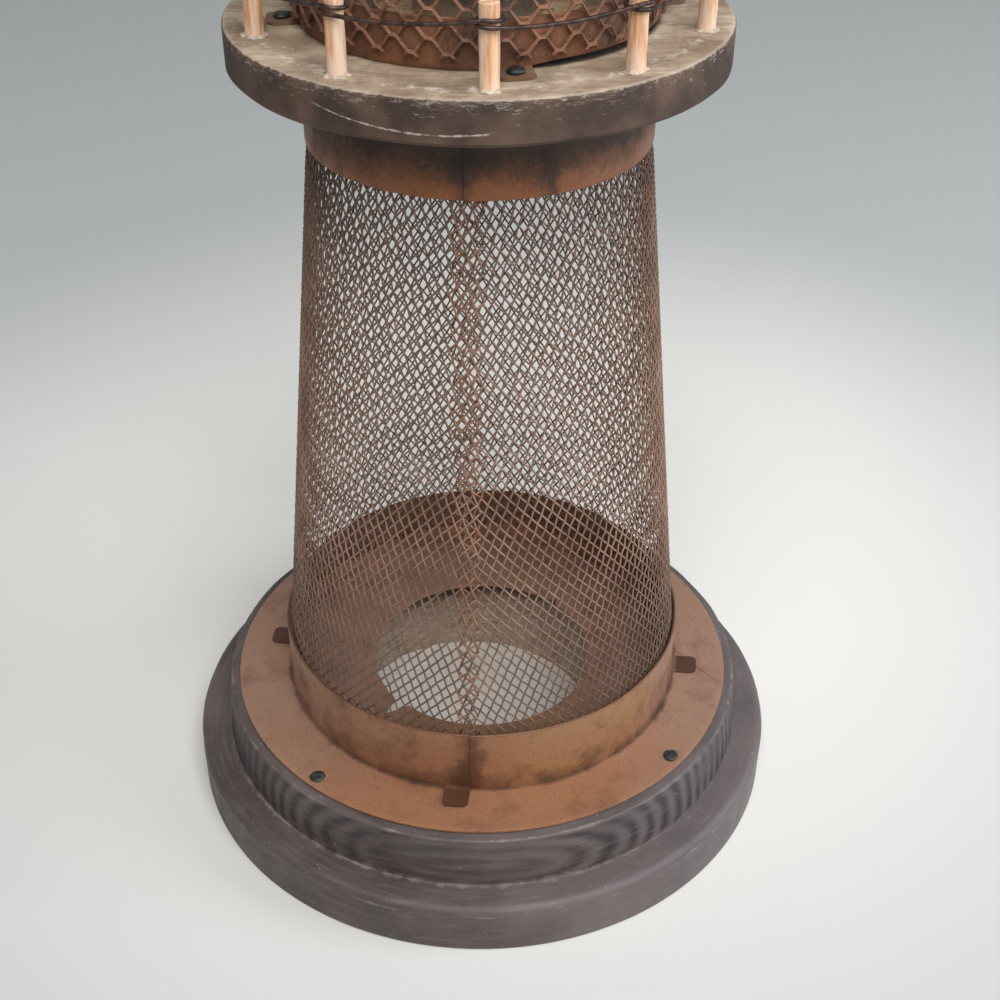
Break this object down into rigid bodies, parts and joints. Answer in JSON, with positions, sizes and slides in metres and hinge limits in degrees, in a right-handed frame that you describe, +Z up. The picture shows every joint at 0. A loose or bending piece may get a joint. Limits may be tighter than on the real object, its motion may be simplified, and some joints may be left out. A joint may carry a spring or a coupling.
{
  "type": "tealight lantern",
  "caption": "Lighthouse-shaped tealight lantern: wooden base, wire-cloth tower, railed gallery and an expanded-metal lantern room under a lift-off tin roof.",
  "frame": {"origin": "middle of the base's underside, on the surface that the lantern stands on", "axes": "+Z up the tower, -Y the front with the cloth's seam, +X to the right seen from the front"},
  "size_m": [0.212, 0.212, 0.4127],
  "materials": {
    "painted_wood": "dark satin paint",
    "deck_wood": "weathered, dark edge",
    "dowel_wood": "limed, unvarnished",
    "lacquered_tin": "rust lacquer",
    "rusty_tin": "rusted, waxed",
    "rusty_wire": "rusted wire",
    "rail_steel": "dark steel",
    "nail_iron": "blued iron",
    "foil": "bright",
    "wax": "translucent",
    "cotton": "braided"
  },
  "bodies": {
    "lantern": {"base_lower_board": "painted_wood", "base_upper_board": "painted_wood", "flange_plate": "lacquered_tin", "lower_collar": "lacquered_tin", "wire_tower": "rusty_wire", "upper_collar": "lacquered_tin", "gallery_deck": "deck_wood", "rail_wire": "rail_steel", "room_band": "rusty_tin", "room_mesh": "rusty_tin", "top_hoop": "rusty_tin", "drip_pan": "rusty_tin", "plate_nail_1": "nail_iron", "collar_nail_1": "nail_iron", "band_nail_1": "nail_iron", "plate_nail_2": "nail_iron", "collar_nail_2": "nail_iron", "band_nail_2": "nail_iron", "plate_nail_3": "nail_iron", "collar_nail_3": "nail_iron", "band_nail_3": "nail_iron", "plate_nail_4": "nail_iron", "collar_nail_4": "nail_iron", "band_nail_4": "nail_iron", "baluster_01": "dowel_wood", "baluster_02": "dowel_wood", "baluster_03": "dowel_wood", "baluster_04": "dowel_wood", "baluster_05": "dowel_wood", "baluster_06": "dowel_wood", "baluster_07": "dowel_wood", "baluster_08": "dowel_wood", "baluster_09": "dowel_wood", "baluster_10": "dowel_wood"},
    "roof": {"roof_cone": "rusty_tin", "roof_skirt": "rusty_tin", "roof_cap": "rusty_tin", "roof_eye": "rail_steel"},
    "ring": {"ring_handle": "rail_steel"},
    "tealight": {"tealight_cup": "foil", "tealight_wax": "wax", "wick_sustainer": "foil", "wick": "cotton"}
  },
  "joints": [
    {"name": "roof_lift", "type": "slide", "parent": "lantern", "child": "roof", "axis": [0, 0, 1], "range_m": [0, 0.06]},
    {"name": "ring_swing", "type": "hinge", "parent": "roof", "child": "ring", "pos_m": [0, 0, 0.4069], "axis": [0, -1, 0], "range_deg": [0, 270]},
    {"name": "tealight_lift", "type": "slide", "parent": "lantern", "child": "tealight", "axis": [0, 0, 1], "range_m": [0, 0.05]}
  ]
}
